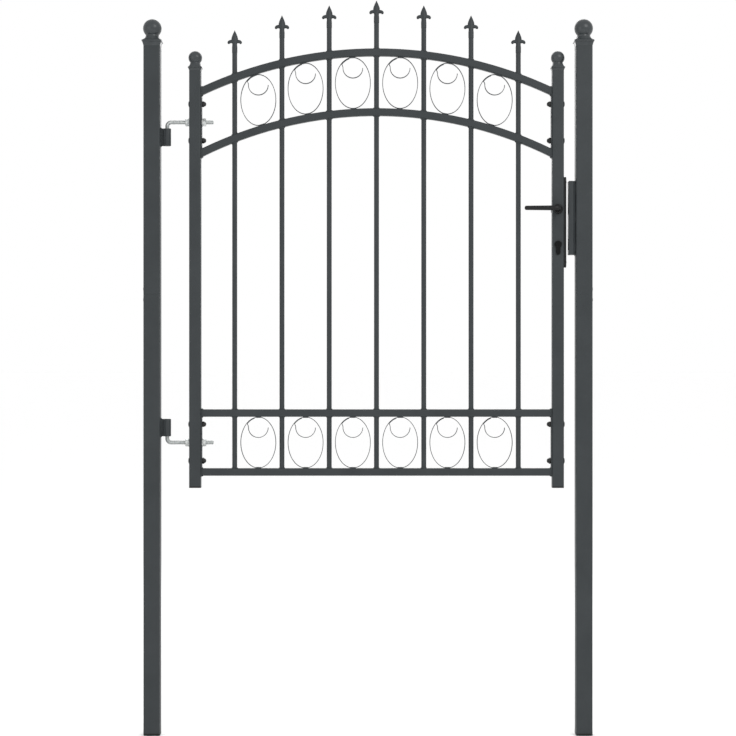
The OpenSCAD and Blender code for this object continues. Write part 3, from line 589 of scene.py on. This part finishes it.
shape = bmesh.new()
spearhead(shape)
bmesh.ops.recalc_face_normals(shape, faces=shape.faces)
mould = bpy.data.meshes.new("spear_mould")
shape.to_mesh(mould)
shape.free()
pattern = bpy.data.objects.new("spear_pattern", mould)
scene.collection.objects.link(pattern)
fuse = pattern.modifiers.new("fuse", "REMESH")
fuse.mode = "VOXEL"
fuse.voxel_size = 0.65
soften = pattern.modifiers.new("soften", "SMOOTH")
soften.factor = 0.5
soften.iterations = 4
bpy.context.view_layer.update()
cast = bpy.data.meshes.new_from_object(pattern.evaluated_get(
    bpy.context.evaluated_depsgraph_get()))
bpy.data.objects.remove(pattern)
shape = bmesh.new()
shank_l = 55
for x, bar_top in bar_places:
    tip = bar_top + shank_l * MM
    before = len(shape.verts)
    shape.from_mesh(cast)
    shape.verts.ensure_lookup_table()
    for vert in shape.verts[before:]:
        vert.co = placed(x, 0, tip) @ vert.co
add_piece("spearhead_castings", shape, powder_coat, "leaf",
          ["spearheads"], 60)

# ---- Scroll rings ----
# Each ring is one length of 8 by 1.5 mm flat steel, bent to an oval, its inner end curled under the
# oval's top and lapped on it. It is welded to the rails above and below, front and back.
strip_t, strip_deep = 1.5, (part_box("upper_rings")[1].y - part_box("upper_rings")[0].y) / MM
low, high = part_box("lower_rings")
gap_x = bar_places[1][0] - bar_places[0][0]
oval_w = ((high.x - low.x) - 5 * gap_x) / 2 / MM - strip_t / 2
oval_h = (faces["middle_under"](0) - faces["bottom_top"](0)) / 2 / MM - strip_t / 2
curl_inset = 5.3
curl_r = oval_w * oval_w / oval_h - curl_inset
curl_z = oval_h - strip_t - curl_r


def strip_section(i):
    """Section of flat steel with its corners rounded by the rolling."""
    t, d, c = strip_t / 2 * MM, strip_deep / 2 * MM, 0.45 * MM
    return [(t, d - c), (t - 0.3 * c, d - 0.3 * c), (t - c, d), (c - t, d),
            (0.3 * c - t, d - 0.3 * c), (-t, d - c), (-t, c - d), (0.3 * c - t, 0.3 * c - d),
            (c - t, -d), (t - c, -d), (t - 0.3 * c, 0.3 * c - d), (t, c - d)]


def oval_point(t, inset=0.0):
    """A point of the oval's middle line at an angle, moved in along its normal."""
    out = Vector((math.cos(t) / oval_w, 0, math.sin(t) / oval_h)).normalized()
    return Vector((oval_w * math.cos(t), 0, oval_h * math.sin(t))) - out * inset


def ring_strip(shape, centre):
    """One ring about its centre: the closed oval, and the curl with its leg and lap."""
    swept(shape, [centre + oval_point(2 * math.pi * k / 144) * MM for k in range(144)],
          Vector((0, 1, 0)), strip_section, closed=True)
    path = [Vector((curl_r * math.cos(a), 0, curl_z + curl_r * math.sin(a)))
            for a in (-math.pi * k / 40 for k in range(41))]
    meet = math.acos(-curl_r / oval_w)
    lap_turn = 0.5
    lap = [oval_point(meet + 0.12 - lap_turn * k / 10, strip_t) for k in range(11)]
    start = path[-1]
    for k in range(1, 9):
        t = k / 8
        bend = t * t * (3 - 2 * t)
        path.append(Vector((start.x + (lap[0].x - start.x) * bend * t, 0,
                            start.z + (lap[0].z - start.z) * t)))
    path += lap[1:]
    swept(shape, [centre + p * MM for p in path], Vector((0, 1, 0)), strip_section)


ring_bands = {
    "upper": (faces["lower_arch_top"], faces["upper_arch_under"]),
    "lower": (faces["bottom_top"], faces["middle_under"]),
}
for band, (floor_z, roof_z) in ring_bands.items():
    shape = bmesh.new()
    welds = bmesh.new()
    for i in range(6):
        x = (bar_places[i][0] + bar_places[i + 1][0]) / 2
        centre = Vector((x, 0, (floor_z(x) + roof_z(x)) / 2))
        ring_strip(shape, centre)
        for height, up in ((roof_z, 1), (floor_z, -1)):
            # The oval touches the sloping rail a little to one side of its middle
            best = min((abs(height(centre.x + oval_point(t).x * MM)
                            - centre.z - oval_point(t).z * MM), t)
                       for t in (up * math.pi / 2 + d / 200 for d in range(-80, 81)))[1]
            touch = centre + oval_point(best) * MM
            for front in (-1, 1):
                bead = [Vector((touch.x + dx * MM, front * (strip_deep / 2 - 0.3) * MM,
                                height(touch.x + dx * MM) - up * MM))
                        for dx in (-7 + 14 * k / 20 for k in range(21))]
                weld_bead(welds, bead, Vector((0, 1, 0)), 1.7 * MM)
    add_piece(band + "_scrolls", shape, powder_coat, "leaf",
              [band + "_rings"], 50)
    add_piece(band + "_scroll_welds", welds, powder_coat, "leaf")

# ---- Frame bolts and cap nuts ----
# Black M8 coach bolts go in from the stiles' outer faces and hold the end plates with nuts on
# the inner side, under domed covers of black plastic. Their heads have no slot.

# Stoved enamel on steel: near black and semi-gloss, a little uneven from the brush, with chips of
# grey along the edges.
black_enamel, tree, shader, where = new_finish("black_enamel")
brushing = add_node(tree, "TexNoise", {"Vector": where, "Scale": 1 / (5 * MM), "Detail": 4.0})
chips = edge_mask(tree, 0.6 * MM)
chip_share = add_node(tree, "Math", {0: chips.outputs["Result"], 1: 0.3}, operation="MULTIPLY")
enamel_tone = add_node(tree, "Mix", {0: brushing.outputs["Fac"], 6: srgb("#0b0b0c"),
                                     7: srgb("#141515")}, data_type="RGBA")
chipped = add_node(tree, "Mix", {0: chip_share.outputs["Value"], 6: enamel_tone.outputs[2],
                                 7: srgb("#444545")}, data_type="RGBA")
tree.links.new(chipped.outputs[2], shader.inputs["Base Color"])
enamel_gloss = add_node(tree, "MapRange", {"Value": brushing.outputs["Fac"], "To Min": 0.26,
                                           "To Max": 0.42})
tree.links.new(enamel_gloss.outputs["Result"], shader.inputs["Roughness"])
enamel_bump = add_node(tree, "Bump", {"Height": brushing.outputs["Fac"], "Strength": 0.25,
                                      "Distance": 0.12 * MM})
tree.links.new(enamel_bump.outputs["Normal"], shader.inputs["Normal"])
shader.inputs["IOR"].default_value = 1.52
shader.inputs["Specular IOR Level"].default_value = 0.22

head_r, nut_af = 7.5, 13
head_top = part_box("frame_bolts")[1].z
rod_r = (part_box("upper_hinge_rod")[1].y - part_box("upper_hinge_rod")[0].y) / 2


def rod_axis_z(hinge):
    """Height of the level leg of a hinge rod, whose other leg points to its sleeve."""
    low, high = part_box(hinge + "_hinge_rod")
    points_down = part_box(hinge + "_hinge_sleeve")[0].z < low.z
    return high.z - rod_r if points_down else low.z + rod_r


hinge_zs = {hinge: rod_axis_z(hinge) for hinge in ("upper", "lower")}
offset = head_top - head_r * MM - hinge_zs["upper"]
bolt_zs = [z + s * offset for z in hinge_zs.values() for s in (-1, 1)]
leaf_left, leaf_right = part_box("hinge_stile")[0].x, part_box("lock_stile")[1].x
plate_t = 2.5 * MM
heads, nuts = bmesh.new(), bmesh.new()
for z in bolt_zs:
    for face, seat, way in ((leaf_left, left_face + plate_t, 1),
                            (leaf_right, right_face - plate_t, -1)):
        dome = [(4, -34), (4, 0), (head_r - 0.3, 0), (head_r, 0.35)]
        dome += [(head_r * math.cos(t), 0.35 + 2.65 * math.sin(t))
                 for t in (math.pi / 2 * k / 9 for k in range(1, 9))] + [(0.2, 3.0)]
        turned(heads, dome, placed(face, 0, z, (-way, 0, 0)), 36)
        nut = [(6.0, 0), (hexagon(nut_af, 1.0), 0.45), (hexagon(nut_af), 0.9),
               (hexagon(nut_af), 4.4), (hexagon(nut_af, 1.0), 4.85), (6.1, 5.1), (5.7, 5.3)]
        nut += [(5.7 * math.cos(t), 5.3 + 4.7 * math.sin(t))
                for t in (math.pi / 2 * k / 9 for k in range(1, 9))] + [(0.2, 10)]
        turned(nuts, nut, placed(seat, 0, z, (way, 0, 0)) @ Matrix.Rotation(
            dice.uniform(0, 1), 4, "Z"), 72)
add_piece("coach_bolts", heads, black_enamel, "leaf", ["frame_bolts"])
add_piece("domed_nuts", nuts, plug_plastic, "leaf", ["cap_nuts"])

# ---- Hinge rods ----
# M10 threaded rod, zinc plated, bent square: one leg stands in the sleeve, the other runs through
# the stile and end plate. Two nuts and washers on each set the gap to the post.

# Bright zinc dulls within weeks: a cloudy, pale blue-grey metal, streaked, brighter on its crests.
zinc_plate, tree, shader, where = new_finish("zinc_plated_steel")
spangle = add_node(tree, "TexNoise", {"Vector": where, "Scale": 1 / (4 * MM), "Detail": 4.0})
scratch = add_node(tree, "TexNoise", {"Vector": where, "Scale": 1 / (0.7 * MM), "Detail": 2.0})
zinc_tone = add_node(tree, "ValToRGB", {"Fac": spangle.outputs["Fac"]})
zinc_tone.color_ramp.elements[0].position = 0.32
zinc_tone.color_ramp.elements[0].color = srgb("#a5a9ab")
zinc_tone.color_ramp.elements[1].position = 0.7
zinc_tone.color_ramp.elements[1].color = srgb("#cfd1ce")
dulled = edge_mask(tree, 0.4 * MM)
dull_share = add_node(tree, "Math", {0: dulled.outputs["Result"], 1: 0.35}, operation="MULTIPLY")
zinc_worn = add_node(tree, "Mix", {0: dull_share.outputs["Value"], 6: zinc_tone.outputs["Color"],
                                   7: srgb("#e3e4e2")}, data_type="RGBA")
tree.links.new(zinc_worn.outputs[2], shader.inputs["Base Color"])
zinc_gloss = add_node(tree, "MapRange", {"Value": spangle.outputs["Fac"], "To Min": 0.3,
                                         "To Max": 0.5})
tree.links.new(zinc_gloss.outputs["Result"], shader.inputs["Roughness"])
zinc_bump = add_node(tree, "Bump", {"Height": scratch.outputs["Fac"], "Strength": 0.2,
                                    "Distance": 0.04 * MM})
tree.links.new(zinc_bump.outputs["Normal"], shader.inputs["Normal"])
shader.inputs["Metallic"].default_value = 1.0

pitch, thread_deep, bend_r = 1.5, 0.62, 9.5
rod_nut_af = 17
all_nuts, all_washers = bmesh.new(), bmesh.new()
for hinge in ("upper", "lower"):
    low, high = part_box(hinge + "_hinge_rod")
    down = 1 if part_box(hinge + "_hinge_sleeve")[0].z < low.z else -1
    z = hinge_zs[hinge]
    pin_x = low.x + rod_r
    leg = ((z - low.z) if down > 0 else (high.z - z)) / MM - bend_r
    reach = (high.x - pin_x) / MM - bend_r
    step = pitch / 6
    corner = math.pi / 2 * bend_r
    points, total = [], leg + corner + reach
    for k in range(int(total / step) + 1):
        s = k * step
        if s < leg:
            x, drop = 0, bend_r + leg - s
        elif s < leg + corner:
            a = (s - leg) / bend_r
            x, drop = bend_r - bend_r * math.cos(a), bend_r - bend_r * math.sin(a)
        else:
            x, drop = bend_r + s - leg - corner, 0
        points.append(Vector((pin_x + x * MM, 0, z - down * drop * MM)))

    def thread(i):
        along = i * step
        taper = min(1.0, 0.62 + 0.19 * along, 0.62 + 0.19 * (total - along))
        ring = []
        for k in range(24):
            turn = (along / pitch + down * k / 24) % 1
            crest = min(1.0, max(0.0, 1.6 - 3.6 * abs(turn - 0.5)))
            r = (rod_r / MM - thread_deep * (1 - crest)) * taper
            ring.append((r * MM * math.cos(2 * math.pi * k / 24),
                         r * MM * math.sin(2 * math.pi * k / 24)))
        return ring

    shape = bmesh.new()
    swept(shape, points, Vector((0, 1, 0)), thread)
    add_piece(hinge + "_threaded_rod", shape, zinc_plate, "leaf",
              [hinge + "_hinge_rod"], 60)
    for seat, way in ((leaf_left, -1), (left_face + plate_t, 1)):
        spin = placed(seat, 0, z, (way, 0, 0)) @ Matrix.Rotation(dice.uniform(0, 1), 4, "Z")
        turned(all_washers, [(5.3, 0), (10.2, 0), (10.5, 0.3), (10.5, 1.6), (10.1, 2), (5.5, 2),
                             (5.3, 1.8)], spin, 48)
        turned(all_nuts, [(7.9, 2.02), (hexagon(rod_nut_af, 0.6), 2.4), (hexagon(rod_nut_af), 3.2),
                          (hexagon(rod_nut_af), 8.8), (hexagon(rod_nut_af, 0.6), 9.6), (7.9, 10),
                          (6.0, 10), (5.2, 9.3)], spin, 96)
add_piece("rod_nuts", all_nuts, zinc_plate, "leaf", ["hinge_nuts"], 30)
add_piece("rod_washers", all_washers, zinc_plate, "leaf", ["hinge_washers"], 30)

# ---- Stile caps ----
# The same moulded nylon cap as on the posts in the next smaller size, for 28 mm tube.
# Each is driven into its stile with a mallet and held by the ribs of its plug.
shape = bmesh.new()
for stile in ("hinge_stile", "lock_stile"):
    low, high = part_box(stile)
    ball_cap(shape, placed((low.x + high.x) / 2, 0, high.z), 28, plug_side=24.4, plug_l=20,
             collar=34, flare_h=8.6, shoulder_h=11, neck_d=24.5, ball_d=33, ball_up=31.5)
add_piece("stile_ball_caps", shape, cap_nylon, "leaf", ["stile_caps"])

# ---- Lock ----
# A narrow-stile mortice lock: the zinc-plated case is hidden in the stile, its black faceplate is
# screwed on the edge, and the latch and dead bolt are drawn back.
dress("lock_faceplate", black_enamel, 0.5)
dress("lock_case", zinc_plate)
dress("lock_bolts", zinc_plate, 0.8)
dress("handle_spindle", zinc_plate)
low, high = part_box("lock_faceplate")
shape = bmesh.new()
for z in (low.z + 13 * MM, high.z - 13 * MM):
    button_head(shape, placed(high.x - 0.1 * MM, 0, z, (1, 0, 0)), head_d=9, head_h=1.3,
                socket=3.5, shank_d=4, shank_l=4)
stile_x = (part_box("lock_stile")[0].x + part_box("lock_stile")[1].x) / 2
stile_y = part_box("lock_stile")[1].y
add_piece("faceplate_screws", shape, black_enamel, "leaf")

# ---- Key cylinder ----
# A brass profile cylinder, dipped in black oxide, passes through the stile below the handle.
# Its round plug carries the keyway. The oxide is darker and duller than the enamel beside it.
cylinder_oxide = black_enamel.copy()
cylinder_oxide.name = "black_oxide_brass"
cylinder_oxide.node_tree.nodes["Principled BSDF"].inputs["Specular IOR Level"].default_value = 0.08
low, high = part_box("key_cylinder")
key_r = (high.x - low.x) / 2 / MM
key_x, key_z = (low.x + high.x) / 2, high.z - key_r * MM
tail_r, tail_z = 5.0, low.z + 5 * MM


def profile_outline(grow):
    """Outline of a profile cylinder about its plug's axis, in millimetres."""
    r, tail, drop = key_r + grow, tail_r + grow, (key_z - tail_z) / MM
    opening = math.asin(min(1.0, tail / r))
    outline = []
    for k in range(41):
        a = -math.pi / 2 + opening + (2 * math.pi - 2 * opening) * k / 40
        outline.append((r * math.cos(a), r * math.sin(a)))
    for k in range(13):
        a = math.pi + math.pi * k / 12
        outline.append((tail * math.cos(a), -drop + tail * math.sin(a)))
    return outline


body_half = (high.y - low.y) / 2 / MM
shape, plugs = bmesh.new(), bmesh.new()
sections = []
for grow, y in ((-0.5, -body_half), (0, -body_half + 0.5), (0, body_half - 0.5),
                (-0.5, body_half)):
    sections.append([Vector((key_x + u * MM, y * MM, key_z + v * MM))
                     for u, v in profile_outline(grow)])
loft(shape, sections)
add_piece("profile_cylinder", shape, cylinder_oxide, "leaf", ["key_cylinder"], 30)
for front in (-1, 1):
    place = placed(key_x, front * (body_half + 0.02) * MM, key_z, (0, front, 0))

    def keyway(a):
        """Outline of the keyway, a slot with a notch, as a radius by angle."""
        c, s = abs(math.cos(a)), abs(math.sin(a))
        return min(4.3 / max(s, 1e-6), (1.0 if math.sin(a) > -0.2 else 1.5) / max(c, 1e-6))
    turned(plugs, [(6.6, -0.6), (6.6, 0.25), (6.2, 0.6), (5.6, 0.62), (keyway, 0.6),
                   (keyway, -2.4)], place, 96)
add_piece("cylinder_plugs", plugs, cylinder_oxide, "leaf", (), 30)

# ---- Roses, lever and knob ----
# A cast lever outside and a turned knob inside on an 8 mm square spindle, each neck in a pressed
# rose. They are coated semi-gloss black, polished a little by hands along the grip.

# Zinc alloy under a black lacquer: smooth, darker than the enamel, shinier where it is handled.
lever_coat, tree, shader, where = new_finish("black_polished_coat")
handling = add_node(tree, "TexNoise", {"Vector": where, "Scale": 1 / (14 * MM), "Detail": 5.0,
                                       "Distortion": 0.8})
cast_skin = add_node(tree, "TexNoise", {"Vector": where, "Scale": 1 / (1.2 * MM), "Detail": 2.0})
lever_tone = add_node(tree, "Mix", {0: handling.outputs["Fac"], 6: srgb("#0a0a0b"),
                                    7: srgb("#141516")}, data_type="RGBA")
lever_edge = edge_mask(tree, 0.6 * MM)
lever_share = add_node(tree, "Math", {0: lever_edge.outputs["Result"], 1: 0.25},
                       operation="MULTIPLY")
lever_worn = add_node(tree, "Mix", {0: lever_share.outputs["Value"], 6: lever_tone.outputs[2],
                                    7: srgb("#4b4c4c")}, data_type="RGBA")
tree.links.new(lever_worn.outputs[2], shader.inputs["Base Color"])
lever_gloss = add_node(tree, "MapRange", {"Value": handling.outputs["Fac"], "To Min": 0.2,
                                          "To Max": 0.4})
tree.links.new(lever_gloss.outputs["Result"], shader.inputs["Roughness"])
lever_bump = add_node(tree, "Bump", {"Height": cast_skin.outputs["Fac"], "Strength": 0.18,
                                     "Distance": 0.05 * MM})
tree.links.new(lever_bump.outputs["Normal"], shader.inputs["Normal"])
shader.inputs["IOR"].default_value = 1.52
shader.inputs["Specular IOR Level"].default_value = 0.22

low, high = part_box("front_lever")
handle_z = (low.z + high.z) / 2
shape = bmesh.new()
for front in (-1, 1):
    turned(shape, [(11.2, 0), (11.5, 0.3), (11.5, 4.6), (11.1, 5.8), (10.2, 6.7), (8.8, 7),
                   (7.5, 7), (7.2, 6.6), (7.0, 5.4)],
           placed(stile_x, front * stile_y, handle_z, (0, front, 0)), 64)
add_piece("lever_roses", shape, lever_coat, "leaf", ["handle_roses"], 30)
lever_neck_r = 6.5
grip_y = abs(low.y) - lever_neck_r * MM
start_y, bend = stile_y + 1 * MM, 9 * MM
path, sizes = [], []
for k in range(9):
    path.append(Vector((stile_x, start_y + (grip_y - bend - start_y) * k / 8, 0)))
    sizes.append((lever_neck_r, lever_neck_r))
for k in range(1, 13):
    a = math.pi / 2 * k / 12
    path.append(Vector((stile_x - bend * (1 - math.cos(a)), grip_y - bend * (1 - math.sin(a)), 0)))
    sizes.append((lever_neck_r - 0.4 * k / 12, lever_neck_r - 0.4 * k / 12))
grip_l = stile_x - bend - low.x - 0.3 * MM
for k in range(1, 41):
    t = k / 40
    way = 1 - (1 - t) ** 1.35
    round_off = math.sqrt(max(0.0, 1 - max(0.0, (way - 0.945) / 0.055) ** 2))
    path.append(Vector((stile_x - bend - grip_l * way, grip_y, 0)))
    sizes.append((max((6.1 - 1.1 * way) * round_off, 0.15),
                  max((6.1 - 0.8 * way) * round_off, 0.15)))
shape = bmesh.new()
swept(shape, [Vector((p.x, -p.y, handle_z)) for p in path], Vector((0, 0, 1)),
      lambda i: [(sizes[i][0] * MM * math.cos(2 * math.pi * k / 32),
                  sizes[i][1] * MM * math.sin(2 * math.pi * k / 32)) for k in range(32)])
add_piece("front_handle_lever", shape, lever_coat, "handle", ["front_lever"], 50)

low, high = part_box("back_knob")
knob_r, knob_l = (high.x - low.x) / 2 / MM, (high.y - low.y) / MM
flutes, flute_deep = 14, 0.6


def fluted(cut):
    """Radius by angle of the knob's rim, scalloped for the fingers."""
    return lambda a: knob_r - cut - flute_deep * 0.5 * (1 + math.cos(flutes * a))


profile = [(6.3, 0), (6.5, 0.3), (6.5, knob_l - 18.5), (6.7, knob_l - 18), (7.6, knob_l - 16.9),
           (knob_r - 1.2, knob_l - 12.6), (fluted(0.5), knob_l - 11.9), (fluted(0), knob_l - 11.2),
           (fluted(0), knob_l - 5), (fluted(0.4), knob_l - 4.3), (knob_r - 1.3, knob_l - 3.6)]
profile += [((knob_r - 1.3) * math.cos(t), knob_l - 3.6 + 3.6 * math.sin(t))
            for t in (math.pi / 2 * k / 12 for k in range(1, 12))] + [(0.2, knob_l)]
shape = bmesh.new()
turned(shape, profile, placed(stile_x, low.y, handle_z, (0, 1, 0)), 112)
add_piece("back_handle_knob", shape, lever_coat, "handle", ["back_knob"], 40)

# ---- Studio ----
# A pale floor that runs back into a pale surround, and broad soft lights above and to the right.
shape = bmesh.new()
floor_half = 400
bmesh.ops.create_grid(shape, x_segments=8, y_segments=8, size=floor_half)
floor_mesh = bpy.data.meshes.new("studio_floor")
shape.to_mesh(floor_mesh)
shape.free()
floor = bpy.data.objects.new("studio_floor", floor_mesh)
floor.location = (0.5, 0, -0.002)
scene.collection.objects.link(floor)
floor_paint, tree, shader, where = new_finish("pale_studio_floor")
shader.inputs["Base Color"].default_value = srgb("#ffffff")
shader.inputs["Roughness"].default_value = 0.9
floor_mesh.materials.append(floor_paint)

surround = bpy.data.worlds.new("studio_surround")
surround.use_nodes = True
surround.node_tree.nodes["Background"].inputs["Color"].default_value = srgb("#ffffff")
surround.node_tree.nodes["Background"].inputs["Strength"].default_value = 1.0
scene.world = surround
gate_middle = Vector((0.52, 0, 0.95))
for name, place, size, power in (("key", (2.6, -3.2, 3.4), 2.2, 70),
                                 ("fill", (-2.6, -3.0, 1.6), 2.6, 22),
                                 ("back", (0.4, 3.2, 2.8), 2.6, 40)):
    lamp = bpy.data.lights.new(name, "AREA")
    lamp.energy = power
    lamp.size = size
    holder = bpy.data.objects.new(name, lamp)
    holder.location = place
    aim = gate_middle - Vector(place)
    holder.rotation_euler = aim.to_track_quat("-Z", "Y").to_euler()
    scene.collection.objects.link(holder)
scene.view_settings.view_transform = "Standard"

lens = bpy.data.cameras.new("camera")
lens.lens = 101.8
lens.sensor_width = 36
camera = bpy.data.objects.new("camera", lens)
camera.location = (0.520, -5.020, 0.8826)
camera.rotation_euler = (math.pi / 2, 0, 0)
scene.collection.objects.link(camera)
scene.camera = camera
